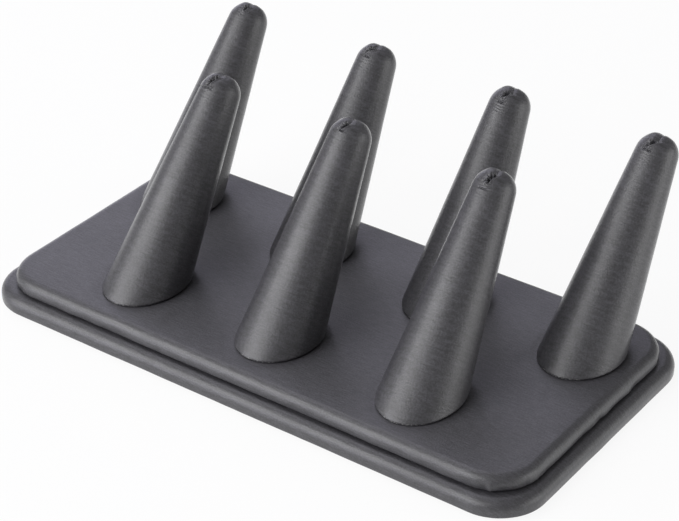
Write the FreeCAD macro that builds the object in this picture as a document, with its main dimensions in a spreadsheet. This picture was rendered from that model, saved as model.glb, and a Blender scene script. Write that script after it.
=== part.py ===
import FreeCAD, Part
import math
import os

import Sketcher

# Ring display stand: two wrapped tiers and seven leaning, tapered fingers.
# Millimetres and degrees. +Z is up, +X runs along the long side, and the fingers lean towards +Y.
# The origin is the middle of the underside, on the surface that the stand rests on.

# Driving dimensions: each can be changed by itself.
SIZES = (
    ("lower_length", 220.0),        # lower tier, long side
    ("lower_width", 112.4),         # lower tier, short side
    ("lower_corner", 17.2),         # lower tier, corner radius seen from above
    ("ledge", 4.2),                 # how far the lower tier stands out round the upper one
    ("upper_corner", 16.4),         # upper tier, corner radius seen from above
    ("leather", 0.6),               # leatherette on the tiers
    ("felt", 0.6),                  # card-backed felt under the base
    ("felt_inset", 3.0),            # bare hem round that sheet
    ("hem_width", 14.0),            # leatherette turned under each board
    ("hem_fold", 0.5),              # radius where the leatherette turns under
    ("lower_board_height", 4.6),
    ("lower_roll", 3.5),            # radius of the wrapped top edge, lower tier
    ("upper_board_height", 2.7),
    ("foam_height", 1.6),
    ("upper_roll", 3.5),            # radius of the padded top edge, upper tier
    ("glue_gap", 0.05),             # film of glue between a wrap and what it covers
    ("pitch", 57.0),                # from finger to finger along a row
    ("row_spacing", 50.5),          # from row to row
    ("row_shift", 0.8),             # how far the rows stand behind the middle
    ("lean", 37.0),                 # of a finger's axis from the vertical
    ("foot_radius", 14.1),          # of the covered cone, where its axis meets the platform
    ("tip_radius", 7.3),            # of the covered cone, where its dome begins
    ("finger_length", 69.0),        # along the axis, from the platform to the dome
    ("sleeve", 0.7),                # leatherette on a finger
    ("core_end_radius", 3.0),       # flat end of the turned core
    ("core_end_height", 5.4),       # that end above the place where the dome begins
    ("tuck_width", 1.2),            # leatherette pushed into the saw cut across the core's tip
    ("tuck_depth", 6.0),
    ("kerf_gap", 0.1),              # saw cut on each side of it
    ("kerf_floor_gap", 1.0),        # saw cut below it
    ("screw_radius", 1.75),
    ("screw_length", 19.0),
    ("screw_head_radius", 3.4),
    ("screw_head_height", 1.9),
    ("screw_point", 4.0),           # length of the screw's point
    ("screw_offset", 5.0),          # screw from the middle of the foot, towards the lean
    ("hole_gap", 0.1),              # between the screw and what it passes through
    ("tuck_angle", 54.0),           # from the finger's axis to the middle of the tuck, at its front
    ("pleat_depth", 1.1),           # below the dome, at the tuck
    ("pleat_width", 1.2),
    ("pleat_start", 20.0),          # first pleat from the fold over the dome
    ("pleat_fan", 132.0),           # angle from the first pleat to the last, on one side
    ("slit_depth", 1.6),
    ("slit_width", 1.0),
    ("slit_length", 3.6),
    ("fold_depth", 0.9),            # groove over the dome, where the two edges of the sleeve meet
    ("fold_width", 1.8),
    ("fold_end_angle", 75.0),       # from the finger's axis to the end of that groove, at its back
    ("crease_depth", 0.4),          # short fold across the finger under the tuck
    ("crease_width", 1.0),
    ("overrun", 1.0),               # how far a cut or a cone runs past the face that ends it
)

PLEATS = 7

# Each finger: its row, its place there in pitches, and how the hand that set it left it:
# millimetres sideways, degrees turned about the vertical and degrees of extra lean.
FINGERS = (
    ("front_1", "front", -1.0, -2.0, 0.0, 0.0),
    ("front_2", "front", 0.0, -1.5, 1.5, -1.5),
    ("front_3", "front", 1.0, -1.5, 4.5, 2.0),
    ("back_1", "back", -1.5, 0.5, 1.5, 0.0),
    ("back_2", "back", -0.5, 3.0, 3.5, -0.5),
    ("back_3", "back", 0.5, 2.5, 4.5, -0.5),
    ("back_4", "back", 1.5, -0.5, 0.5, -0.5),
)
ROW_SIDE = {"front": "-", "back": "+"}

# Sizes that follow from the driving ones.
# The numbers that sketches are first drawn with are rough: the sizes that they are tied to set them.
WORKED = (
    ("hem_top_lower", "Sizes.felt + Sizes.leather"),
    ("lower_top", "Sizes.felt + 2 * Sizes.leather + Sizes.lower_board_height"),
    ("upper_length", "Sizes.lower_length - 2 * Sizes.ledge"),
    ("upper_width", "Sizes.lower_width - 2 * Sizes.ledge"),
    ("hem_top_upper", "lower_top + Sizes.leather"),
    ("foam_bottom", "hem_top_upper + Sizes.upper_board_height"),
    ("foam_top", "foam_bottom + Sizes.foam_height"),
    ("platform", "foam_top + Sizes.leather"),
    ("slope", "(Sizes.foot_radius - Sizes.tip_radius) / Sizes.finger_length"),
    ("dome_radius", "Sizes.tip_radius * sqrt(1 + slope * slope)"),
    ("dome_centre", "Sizes.finger_length - Sizes.tip_radius * slope"),
    ("core_tip_radius", "Sizes.tip_radius - Sizes.sleeve"),
    ("core_top", "Sizes.finger_length + Sizes.core_end_height"),
    ("hem_fold", "min(Sizes.hem_fold; 0.85 * Sizes.leather)"),
    ("screw_reach", "Sizes.screw_length - Sizes.upper_board_height - Sizes.foam_height - Sizes.leather"),
)


def fill_sheets(doc):
    """Writes the driving dimensions, and the sizes that follow from them, in two sheets."""
    sizes = doc.addObject("Spreadsheet::Sheet", "Sizes")
    rows = list(SIZES)
    for name, _row, _place, shift, turn, extra in FINGERS:
        rows += [(name + "_shift", shift), (name + "_turn", turn), (name + "_extra", extra)]
    for number, (alias, value) in enumerate(rows, start=1):
        sizes.set(f"A{number}", alias)
        sizes.set(f"B{number}", str(value))
        sizes.setAlias(f"B{number}", alias)
    doc.recompute()
    worked = doc.addObject("Spreadsheet::Sheet", "Worked")
    rows = list(WORKED)
    for name, row, place, _shift, _turn, _extra in FINGERS:
        side = ROW_SIDE[row]
        turn = f"Sizes.{name}_turn * 1deg"
        lean = f"({name}_lean * 1deg)"
        rows += [
            (name + "_x", f"{place} * Sizes.pitch + Sizes.{name}_shift"),
            (name + "_y", f"Sizes.row_shift {side} Sizes.row_spacing / 2"),
            (name + "_lean", f"Sizes.lean + Sizes.{name}_extra"),
            (name + "_drop", f"Sizes.overrun + Sizes.foot_radius * tan{lean} / (1 - slope * tan{lean})"),
            (name + "_screw_x", f"{name}_x - Sizes.screw_offset * sin({turn})"),
            (name + "_screw_y", f"{name}_y + Sizes.screw_offset * cos({turn})"),
        ]
    for number, (alias, formula) in enumerate(rows, start=1):
        worked.set(f"A{number}", alias)
        worked.setAlias(f"B{number}", alias)
        worked.set(f"B{number}", "=" + formula)
    doc.recompute()


def new_body(doc, label):
    body = doc.addObject("PartDesign::Body", label)
    body.Label = label
    return body


def new_sketch(body, name, plane, height=None, tilt=None):
    """A sketch on one of the body's planes. It is raised along its normal by a height, or tilted:
    moved up by the first size, turned about X by the second and then about its own upright by the third."""
    sketch = body.newObject("Sketcher::SketchObject", name)
    base = [item for item in body.Origin.OriginFeatures if item.Role == plane][0]
    sketch.AttachmentSupport = [(base, "")]
    sketch.MapMode = "FlatFace"
    if height is not None:
        sketch.setExpression("AttachmentOffset.Base.z", height)
    if tilt is not None:
        centre, angle, turn = tilt
        sketch.setExpression(
            "AttachmentOffset",
            f"placement(vector(0; {centre}; 0); rotation(vector(1; 0; 0); {angle})"
            f" * rotation(vector(0; 1; 0); {turn}))",
        )
    return sketch


def bind(sketch, kind, *places, name, size):
    """A named dimension of a sketch, tied to a size."""
    index = sketch.addConstraint(Sketcher.Constraint(kind, *places, 1.0))
    sketch.renameConstraint(index, name)
    sketch.setExpression("Constraints." + name, size)


def polygon(sketch, corners, sizes, dome=None):
    """A closed outline of straight lines. Each corner is tied by its distances from the two axes,
    given as (x size, y size) in sizes, where 0 puts it on the axis. The side whose number is dome
    is an arc instead, which ends on the upright axis and has its centre there."""
    count = len(corners)
    upright_axis = -2
    for index in range(count):
        start = FreeCAD.Vector(*corners[index], 0)
        end = FreeCAD.Vector(*corners[(index + 1) % count], 0)
        if index == dome:
            circle = Part.Circle(FreeCAD.Vector(0, start.y, 0), FreeCAD.Vector(0, 0, 1), start.x)
            sketch.addGeometry(Part.ArcOfCircle(circle, 0, math.pi / 2))
        else:
            sketch.addGeometry(Part.LineSegment(start, end))
    for index in range(count):
        sketch.addConstraint(Sketcher.Constraint("Coincident", index, 2, (index + 1) % count, 1))
    if dome is not None:
        sketch.addConstraint(Sketcher.Constraint("PointOnObject", dome, 3, upright_axis))
    for index, (across, along) in enumerate(sizes):
        place_point(sketch, index, 1, corners[index], across, along, f"corner_{index}")


def place_point(sketch, line, point, place, across, along, name):
    """Ties a point to the sketch's axes: across and along are sizes, or 0 on the axis."""
    vertical_axis, horizontal_axis = -2, -1
    for kind, size, value, axis, word in (
        ("DistanceX", across, place[0], vertical_axis, "across"),
        ("DistanceY", along, place[1], horizontal_axis, "along"),
    ):
        if size == 0:
            sketch.addConstraint(Sketcher.Constraint("PointOnObject", line, point, axis))
            continue
        index = sketch.addConstraint(Sketcher.Constraint(kind, -1, 1, line, point, value))
        sketch.renameConstraint(index, f"{name}_{word}")
        sketch.setExpression(f"Constraints.{name}_{word}", size)


def rounded_rectangle(sketch, length, width, corner):
    """A rectangle about the origin with four equal round corners."""
    half_x, half_y, r = 100.0, 50.0, 15.0
    turn = math.pi / 2
    signs = ((1, -1), (1, 1), (-1, 1), (-1, -1))
    for quarter, (sx, sy) in enumerate(signs):
        centre = FreeCAD.Vector(sx * (half_x - r), sy * (half_y - r), 0)
        circle = Part.Circle(centre, FreeCAD.Vector(0, 0, 1), r)
        first = (quarter - 1) * turn
        sketch.addGeometry(Part.ArcOfCircle(circle, first, first + turn))
    for quarter in range(4):
        begin = sketch.getPoint(quarter, 2)
        end = sketch.getPoint((quarter + 1) % 4, 1)
        sketch.addGeometry(Part.LineSegment(begin, end))
    for quarter in range(4):
        line = 4 + quarter
        sketch.addConstraint(Sketcher.Constraint("Tangent", quarter, 2, line, 1))
        sketch.addConstraint(Sketcher.Constraint("Tangent", line, 2, (quarter + 1) % 4, 1))
        sketch.addConstraint(Sketcher.Constraint("Vertical" if quarter % 2 == 0 else "Horizontal", line))
    for quarter in range(1, 4):
        sketch.addConstraint(Sketcher.Constraint("Equal", 0, quarter))
    sketch.addConstraint(Sketcher.Constraint("Symmetric", 0, 3, 2, 3, -1, 1))
    bind(sketch, "DistanceX", 2, 3, 0, 3, name="between_x", size=f"{length} - 2 * ({corner})")
    bind(sketch, "DistanceY", 0, 3, 2, 3, name="between_y", size=f"{width} - 2 * ({corner})")
    bind(sketch, "Radius", 0, name="corner", size=corner)


def rectangle(sketch, length, width):
    """A rectangle about the origin with square corners."""
    corners = ((-90.0, -40.0), (90.0, -40.0), (90.0, 40.0), (-90.0, 40.0))
    sides = ((-1, -1), (1, -1), (1, 1), (-1, 1))
    sizes = [(f"{sx} * ({length}) / 2", f"{sy} * ({width}) / 2") for sx, sy in sides]
    polygon(sketch, corners, sizes)


def add(body, kind, name, sketch, **settings):
    """A feature made from a sketch. Text settings are expressions."""
    feature = body.newObject("PartDesign::" + kind, name)
    feature.Profile = sketch
    for key, value in settings.items():
        if isinstance(value, str) and key in ("Length", "Angle", "Diameter", "Depth"):
            feature.setExpression(key, value)
        else:
            setattr(feature, key, value)
    sketch.Visibility = False
    body.Document.recompute()
    return feature


def level_edges(shape, height):
    """Names of the edges that lie flat at one height."""
    names = []
    for number, edge in enumerate(shape.Edges, start=1):
        box = edge.BoundBox
        if abs(box.ZMin - height) < 1e-6 and abs(box.ZMax - height) < 1e-6:
            names.append(f"Edge{number}")
    return names


def round_rim(body, name, base, height, radius):
    """Rounds the outer rim of a tier at one height."""
    fillet = body.newObject("PartDesign::Fillet", name)
    fillet.Base = (base, level_edges(base.Shape, height))
    fillet.setExpression("Radius", radius)
    body.Document.recompute()
    return fillet


def make_wrap(doc, label, size, bottom, hem_top, top, roll):
    """The leatherette of one tier: a skin over the top and sides, and a hem turned under."""
    length, width, corner = size
    body = new_body(doc, label)
    outline = new_sketch(body, label + "_outline", "XY_Plane", height=hem_top)
    rounded_rectangle(outline, length, width, corner)
    block = add(body, "Pad", label + "_block", outline, Length=f"{top} - {hem_top}")
    rolled = round_rim(body, label + "_roll", block, block.Shape.BoundBox.ZMax, roll)
    underside = min(rolled.Shape.Faces, key=lambda face: face.CenterOfMass.z)
    number = [face.isSame(underside) for face in rolled.Shape.Faces].index(True) + 1
    skin = body.newObject("PartDesign::Thickness", label + "_skin")
    skin.Base = (rolled, [f"Face{number}"])
    skin.setExpression("Value", "Sizes.leather")
    skin.Reversed = True
    doc.recompute()
    under = new_sketch(body, label + "_hem_outline", "XY_Plane", height=bottom)
    rounded_rectangle(under, length, width, corner)
    hem = add(body, "Pad", label + "_hem", under, Length="Sizes.leather")
    folded = round_rim(body, label + "_fold", hem, hem.Shape.BoundBox.ZMin, "Worked.hem_fold")
    inner = new_sketch(body, label + "_opening", "XY_Plane", height=bottom)
    rectangle(inner, f"{length} - 2 * Sizes.hem_width", f"{width} - 2 * Sizes.hem_width")
    opened = add(body, "Pocket", label + "_hem_opening", inner, Length="Sizes.leather", Reversed=True)
    check_cut(folded, opened)
    return body


def make_filling(doc, label, size, bottom, top, roll, keep=None):
    """What a wrap is drawn over: a block with a rounded top rim, or its part below or above a height."""
    length, width, corner = size
    inset = "2 * (Sizes.leather + Sizes.glue_gap)"
    body = new_body(doc, label)
    outline = new_sketch(body, label + "_outline", "XY_Plane", height=bottom)
    rounded_rectangle(
        outline,
        f"{length} - {inset}",
        f"{width} - {inset}",
        f"{corner} - Sizes.leather - Sizes.glue_gap",
    )
    block = add(body, "Pad", label + "_block", outline, Length=f"{top} - {bottom}")
    rolled = round_rim(
        body, label + "_roll", block, block.Shape.BoundBox.ZMax, f"{roll} - Sizes.leather - Sizes.glue_gap"
    )
    if keep:
        side, height = keep
        away = new_sketch(body, label + "_trim_outline", "XY_Plane", height=height)
        rectangle(away, length, width)
        trimmed = add(
            body, "Pocket", label + "_trim", away, Length=f"{top} - {bottom}", Reversed=side == "below"
        )
        check_cut(rolled, trimmed)
    return body


def make_felt(doc):
    """The flat sheet under the base, glued to the hem."""
    body = new_body(doc, "bottom_felt")
    length = "Sizes.lower_length - 2 * Sizes.felt_inset"
    width = "Sizes.lower_width - 2 * Sizes.felt_inset"
    outline = new_sketch(body, "felt_outline", "XY_Plane")
    rounded_rectangle(outline, length, width, "Sizes.lower_corner - Sizes.felt_inset")
    add(body, "Pad", "felt_sheet", outline, Length="Sizes.felt")
    return body


def make_adhesive(doc):
    """The sheet that joins the tiers, inside the opening of the upper hem."""
    body = new_body(doc, "tier_adhesive")
    outline = new_sketch(body, "adhesive_outline", "XY_Plane", height="Worked.lower_top")
    inset = "2 * Sizes.hem_width - 2 * Sizes.glue_gap"
    rectangle(outline, f"Worked.upper_length - {inset}", f"Worked.upper_width - {inset}")
    add(body, "Pad", "adhesive_sheet", outline, Length="Sizes.leather")
    return body


def screw_circles(sketch, radius):
    """Seven circles, one over each finger's screw."""
    for number, (name, *_rest) in enumerate(FINGERS):
        centre = FreeCAD.Vector(-90 + 30 * number, 10, 0)
        sketch.addGeometry(Part.Circle(centre, FreeCAD.Vector(0, 0, 1), 2.0))
        place_point(
            sketch, number, 3, centre, f"Worked.{name}_screw_x", f"Worked.{name}_screw_y", name
        )
        if number == 0:
            bind(sketch, "Radius", 0, name="radius", size=radius)
        else:
            sketch.addConstraint(Sketcher.Constraint("Equal", 0, number))


def pierce(body, bottom, top):
    """Holes through a layer of the upper tier for the screws."""
    circles = new_sketch(body, body.Label + "_holes", "XY_Plane", height=bottom)
    screw_circles(circles, "Sizes.screw_radius + Sizes.hole_gap")
    before = body.Tip
    pierced = add(
        body, "Pocket", body.Label + "_pierced", circles, Length=f"{top} - {bottom}", Reversed=True
    )
    check_cut(before, pierced)


def countersink(body):
    """Seven countersunk holes from the underside of the upper board."""
    circles = new_sketch(body, "board_holes", "XY_Plane", height="Worked.hem_top_upper")
    screw_circles(circles, "Sizes.screw_radius + Sizes.hole_gap")
    body.Document.recompute()
    before = body.Tip
    hole = body.newObject("PartDesign::Hole", "board_countersinks")
    hole.Profile = circles
    hole.Threaded = False
    hole.DepthType = "ThroughAll"
    hole.setExpression("Diameter", "2 * (Sizes.screw_radius + Sizes.hole_gap)")
    hole.HoleCutType = "Countersink"
    hole.HoleCutCustomValues = True
    hole.setExpression("HoleCutDiameter", "2 * (Sizes.screw_head_radius + Sizes.hole_gap)")
    hole.setExpression(
        "HoleCutCountersinkAngle",
        "2 * atan((Sizes.screw_head_radius - Sizes.screw_radius) / Sizes.screw_head_height)",
    )
    hole.Reversed = True
    body.Document.recompute()
    check_cut(before, hole)


def stand_finger(body, name):
    """Puts a finger's piece, made upright about its axis, on the platform and leans it back."""
    body.setExpression(
        "Placement",
        f"placement(vector(Worked.{name}_x; Worked.{name}_y; Worked.platform);"
        f" rotation(vector(0; 0; 1); Sizes.{name}_turn)"
        f" * rotation(vector(1; 0; 0); -Worked.{name}_lean))",
    )


def cut_foot(body, name, before):
    """Cuts the cone along the platform, which slopes in the finger's own frame."""
    region = new_sketch(body, body.Label + "_platform_side", "YZ_Plane")
    corners = ((-28.0, -20.0), (28.0, -20.0), (28.0, 20.0))
    reach = "2 * Sizes.foot_radius"
    rise = f"{reach} * tan(Worked.{name}_lean * 1deg)"
    sizes = ((f"-{reach}", f"-{rise}"), (reach, f"-{rise}"), (reach, rise))
    polygon(region, corners, sizes)
    foot = add(
        body, "Pocket", body.Label + "_foot", region, Length="4 * Sizes.foot_radius", Midplane=True
    )
    check_cut(before, foot)
    return foot


def make_lower_tier(doc):
    size = ("Sizes.lower_length", "Sizes.lower_width", "Sizes.lower_corner")
    hem_top = "Worked.hem_top_lower"
    roll = "Sizes.lower_roll"
    board = make_filling(doc, "lower_board", size, hem_top, "(Worked.lower_top - Sizes.leather)", roll)
    wrap = make_wrap(doc, "lower_cover", size, "Sizes.felt", hem_top, "Worked.lower_top", roll)
    return [board, wrap]


def make_upper_tier(doc):
    size = ("Worked.upper_length", "Worked.upper_width", "Sizes.upper_corner")
    hem_top = "Worked.hem_top_upper"
    foam_bottom, foam_top, platform = "Worked.foam_bottom", "Worked.foam_top", "Worked.platform"
    roll = "Sizes.upper_roll"
    board = make_filling(doc, "upper_board", size, hem_top, foam_top, roll, keep=("below", foam_bottom))
    countersink(board)
    pad = make_filling(doc, "upper_pad", size, hem_top, foam_top, roll, keep=("above", foam_bottom))
    pierce(pad, foam_bottom, foam_top)
    wrap = make_wrap(doc, "upper_cover", size, "Worked.lower_top", hem_top, platform, roll)
    pierce(wrap, foam_top, platform)
    return [make_adhesive(doc), board, pad, wrap]


def make_core(doc, name):
    """A turned cone with a slanted foot, a saw cut across its tip and a pilot hole."""
    body = new_body(doc, "finger_core_" + name)
    profile = new_sketch(body, body.Label + "_profile", "XZ_Plane")
    low = f"Worked.{name}_drop"
    inset = "Sizes.sleeve - Sizes.glue_gap"
    polygon(
        profile,
        ((0, -12.0), (14.0, -12.0), (6.5, 69.0), (3.0, 74.0), (0, 74.0)),
        (
            (0, f"-{low}"),
            (f"Sizes.foot_radius + Worked.slope * {low} - {inset}", f"-{low}"),
            ("Worked.core_tip_radius - Sizes.glue_gap", "Sizes.finger_length"),
            ("Sizes.core_end_radius", "Worked.core_top - Sizes.glue_gap"),
            (0, "Worked.core_top - Sizes.glue_gap"),
        ),
    )
    cone = add(
        body, "Revolution", body.Label + "_cone", profile, ReferenceAxis=(profile, ["V_Axis"]), Angle=360
    )
    foot = cut_foot(body, name, cone)
    saw = new_sketch(body, body.Label + "_saw", "XZ_Plane")
    half = "(Sizes.tuck_width / 2 + Sizes.kerf_gap)"
    floor = "Worked.core_top - Sizes.tuck_depth - Sizes.kerf_floor_gap"
    over = "Worked.core_top + Sizes.sleeve"
    polygon(
        saw,
        ((-0.7, 65.0), (0.7, 65.0), (0.7, 80.0), (-0.7, 80.0)),
        ((f"-{half}", floor), (half, floor), (half, over), (f"-{half}", over)),
    )
    kerf = add(
        body, "Pocket", body.Label + "_kerf", saw, Length="4 * Sizes.tip_radius", Midplane=True
    )
    check_cut(foot, kerf)
    pilot = new_sketch(body, body.Label + "_pilot", "XY_Plane")
    pilot.setExpression(
        "AttachmentOffset",
        f"placement(vector(0; 0; 0); rotation(vector(1; 0; 0); Worked.{name}_lean))",
    )
    pilot.addGeometry(Part.Circle(FreeCAD.Vector(0, 5, 0), FreeCAD.Vector(0, 0, 1), 2.0))
    place_point(pilot, 0, 3, (0, 5.0), 0, "Sizes.screw_offset", "centre")
    bind(pilot, "Radius", 0, name="radius", size="Sizes.screw_radius + Sizes.hole_gap")
    deep = "Worked.screw_reach + Sizes.overrun"
    drilled = add(body, "Pocket", body.Label + "_drilled", pilot, Length=deep, Reversed=True)
    check_cut(kerf, drilled)
    stand_finger(body, name)
    return body


def make_sleeve(doc, name):
    """The leatherette of a finger: a cone closed by a dome, gathered and tucked at the tip."""
    body = new_body(doc, "finger_cover_" + name)
    profile = new_sketch(body, body.Label + "_profile", "XZ_Plane")
    low = f"Worked.{name}_drop"
    outer_low = f"Sizes.foot_radius + Worked.slope * {low}"
    corners = ((14.0, -12.0), (7.3, 69.0), (0, 76.3), (0, 74.4), (3.0, 74.4), (6.6, 69.0), (13.3, -12.0))
    sizes = (
        (outer_low, f"-{low}"),
        ("Sizes.tip_radius", "Sizes.finger_length"),
        (0, "Worked.dome_centre + Worked.dome_radius"),
        (0, "Worked.core_top"),
        ("Sizes.core_end_radius + Sizes.glue_gap", "Worked.core_top"),
        ("Worked.core_tip_radius", "Sizes.finger_length"),
        (f"{outer_low} - Sizes.sleeve", f"-{low}"),
    )
    polygon(profile, corners, sizes, dome=1)
    shell = add(
        body, "Revolution", body.Label + "_shell", profile, ReferenceAxis=(profile, ["V_Axis"]), Angle=360
    )
    foot = cut_foot(body, name, shell)
    tuck = new_sketch(body, body.Label + "_tuck_outline", "YZ_Plane")
    across = "Worked.core_tip_radius + Sizes.sleeve / 2"
    base = "Worked.core_top - Sizes.tuck_depth"
    over = "Worked.core_top + Sizes.glue_gap"
    inner = "Sizes.core_end_radius + Sizes.sleeve / 2"
    polygon(
        tuck,
        ((-7.0, 68.0), (7.0, 68.0), (7.0, 69.0), (3.3, 74.5), (-3.3, 74.5), (-7.0, 69.0)),
        (
            (f"-({across})", base),
            (across, base),
            (across, "Sizes.finger_length"),
            (inner, over),
            (f"-({inner})", over),
            (f"-({across})", "Sizes.finger_length"),
        ),
    )
    tucked = add(body, "Pad", body.Label + "_tuck", tuck, Length="Sizes.tuck_width", Midplane=True)
    gather_tip(body, tucked)
    stand_finger(body, name)
    return body


def gather_tip(body, before):
    """Cuts the fold over the dome, the slit of the tuck, its fan of pleats and the crease under it."""
    label = body.Label
    radius = "Worked.dome_radius"
    centre = "Worked.dome_centre"
    for part, sweep in (("front", "Sizes.tuck_angle"), ("back", "Sizes.fold_end_angle")):
        fold = new_sketch(body, f"{label}_fold_{part}_section", "XZ_Plane", tilt=(centre, 0, 0))
        notch(fold, radius, "Sizes.fold_width", "Sizes.fold_depth")
        folded = add(
            body,
            "Groove",
            f"{label}_fold_{part}",
            fold,
            ReferenceAxis=(fold, ["H_Axis"]),
            Angle=sweep,
            Reversed=part == "front",
        )
        check_cut(before, folded)
        before = folded
    slit = new_sketch(body, f"{label}_slit_section", "XZ_Plane", tilt=(centre, "Sizes.tuck_angle", 0))
    notch(slit, radius, "Sizes.slit_width", "Sizes.slit_depth")
    slitted = add(body, "Pocket", f"{label}_slit", slit, Length="Sizes.slit_length", Midplane=True)
    check_cut(before, slitted)
    start = "Sizes.pleat_start"
    pleat = new_sketch(
        body, f"{label}_pleat_section", "XZ_Plane", tilt=(centre, "Sizes.tuck_angle", start)
    )
    notch(pleat, radius, "Sizes.pleat_width", "Sizes.pleat_depth")
    first = add(body, "Pocket", f"{label}_pleat", pleat, Length="2 * Sizes.tip_radius")
    check_cut(slitted, first)
    fan = body.newObject("PartDesign::PolarPattern", f"{label}_pleats")
    fan.Originals = [first]
    fan.Axis = (pleat, ["V_Axis"])
    fan.setExpression("Angle", "Sizes.pleat_fan")
    fan.Occurrences = PLEATS
    body.Tip = fan
    body.Document.recompute()
    check_cut(first, fan)
    crease = new_sketch(body, f"{label}_crease_section", "YZ_Plane")
    half = "Sizes.crease_width / 2"
    skin = "-Sizes.tip_radius"
    polygon(
        crease,
        ((-8.0, 68.5), (-6.9, 69.0), (-8.0, 69.5)),
        (
            (f"{skin} - Sizes.crease_depth", f"Sizes.finger_length - {half}"),
            (f"{skin} + Sizes.crease_depth", "Sizes.finger_length"),
            (f"{skin} - Sizes.crease_depth", f"Sizes.finger_length + {half}"),
        ),
    )
    creased = add(body, "Pocket", f"{label}_crease", crease, Length="2 * Sizes.tip_radius", Midplane=True)
    check_cut(fan, creased)
    return creased


def notch(sketch, radius, width, depth):
    """A V that opens outwards through the dome's skin."""
    polygon(
        sketch,
        ((0, 6.5), (1.0, 8.0), (-1.0, 8.0)),
        (
            (0, f"{radius} - {depth}"),
            (width, f"{radius} + {depth}"),
            (f"-{width}", f"{radius} + {depth}"),
        ),
    )


def make_screws(doc):
    """Seven countersunk screws, turned from one profile."""
    profile = doc.addObject("Sketcher::SketchObject", "screw_profile")
    profile.Placement = FreeCAD.Placement(
        FreeCAD.Vector(0, 0, 0), FreeCAD.Rotation(FreeCAD.Vector(1, 0, 0), 90)
    )
    polygon(
        profile,
        ((0, 0), (3.4, 0), (1.75, 1.9), (1.75, 15.0), (0, 19.0)),
        (
            (0, 0),
            ("Sizes.screw_head_radius", 0),
            ("Sizes.screw_radius", "Sizes.screw_head_height"),
            ("Sizes.screw_radius", "Sizes.screw_length - Sizes.screw_point"),
            (0, "Sizes.screw_length"),
        ),
    )
    doc.recompute()
    screws = []
    for name, *_rest in FINGERS:
        screw = doc.addObject("Part::Revolution", "screw_" + name)
        screw.Source = profile
        screw.Axis = FreeCAD.Vector(0, 0, 1)
        screw.Angle = 360
        screw.Solid = True
        screw.setExpression("Placement.Base.x", f"Worked.{name}_screw_x")
        screw.setExpression("Placement.Base.y", f"Worked.{name}_screw_y")
        screw.setExpression("Placement.Base.z", "Worked.hem_top_upper")
        screws.append(screw)
    group = doc.addObject("Part::Compound", "finger_screws")
    group.Label = "finger_screws"
    group.Links = screws
    return group


def check_cut(before, after):
    """A cut that points away from the solid takes nothing off and shows no error."""
    if not after.Shape.Volume < before.Shape.Volume:
        raise RuntimeError(after.Name + " cuts nothing")


def build():
    doc = FreeCAD.newDocument("ring_display_stand")
    fill_sheets(doc)
    pieces = [make_felt(doc)] + make_lower_tier(doc) + make_upper_tier(doc)
    for name, *_rest in FINGERS:
        pieces.append(make_core(doc, name))
        pieces.append(make_sleeve(doc, name))
    pieces.append(make_screws(doc))
    doc.recompute()
    return doc, pieces


def check(doc, pieces):
    """Stops at an object that failed, or a piece that is not a sound solid."""
    for item in doc.Objects:
        for word in ("Invalid", "Error"):
            if word in item.State:
                raise RuntimeError(f"{item.Name} is {word}")
    for piece in pieces:
        if piece.Shape.isNull() or not piece.Shape.isValid():
            raise RuntimeError(piece.Label + " has no sound shape")


def write(pieces):
    os.makedirs("parts", exist_ok=True)
    for piece in pieces:
        piece.Shape.exportStep(os.path.join("parts", piece.Label + ".step"))
        print(piece.Label, len(piece.Shape.Solids), "solid", round(piece.Shape.Volume, 1), "mm3")


document, all_pieces = build()
check(document, all_pieces)
write(all_pieces)
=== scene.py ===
# %% [markdown]
# # A ring display stand in charcoal leatherette
# The object stands on a shop counter and shows rings: seven leaning cones on two flat tiers, all
# wrapped in the same dark leatherette. The construction model already holds every board, core,
# screw and wrap at its real size. This script only gives it its looks. It loads that model as a
# fixed frame, makes finer wraps where the cloth-like skin folds, and paints every surface.

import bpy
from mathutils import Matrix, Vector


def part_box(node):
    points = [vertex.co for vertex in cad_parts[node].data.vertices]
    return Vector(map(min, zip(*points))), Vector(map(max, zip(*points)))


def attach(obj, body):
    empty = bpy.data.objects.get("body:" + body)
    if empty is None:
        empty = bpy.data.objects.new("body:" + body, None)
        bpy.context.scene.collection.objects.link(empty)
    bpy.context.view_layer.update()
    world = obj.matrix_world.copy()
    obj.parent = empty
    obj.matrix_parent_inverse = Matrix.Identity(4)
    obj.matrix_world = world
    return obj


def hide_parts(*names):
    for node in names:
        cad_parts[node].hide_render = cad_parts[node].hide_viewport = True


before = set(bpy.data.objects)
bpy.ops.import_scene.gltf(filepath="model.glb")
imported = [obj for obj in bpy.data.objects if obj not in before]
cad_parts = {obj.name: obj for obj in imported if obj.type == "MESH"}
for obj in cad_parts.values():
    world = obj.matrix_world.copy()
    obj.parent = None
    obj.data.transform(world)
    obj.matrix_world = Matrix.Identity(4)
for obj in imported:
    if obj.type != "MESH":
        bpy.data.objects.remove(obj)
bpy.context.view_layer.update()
print("nodes:", len(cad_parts))

# %% The modules that the cells below use
import math
import random

import bmesh
import bpy
from mathutils import Matrix, Vector, noise

# %% [markdown]
# ## Sizes
# The pieces are shaped in millimetres and go to metres at the very end. The tiers' places are read
# from the frame. The cones lean, so a box doesn't give their axes: their few driving sizes are
# repeated here, and a later cell compares them with the frame.

# %% Sizes in millimetres
MM = 0.001


def box_mm(node):
    """Lowest and highest corner of a construction node, in millimetres."""
    low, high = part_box(node)
    return Vector(low) / MM, Vector(high) / MM


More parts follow.
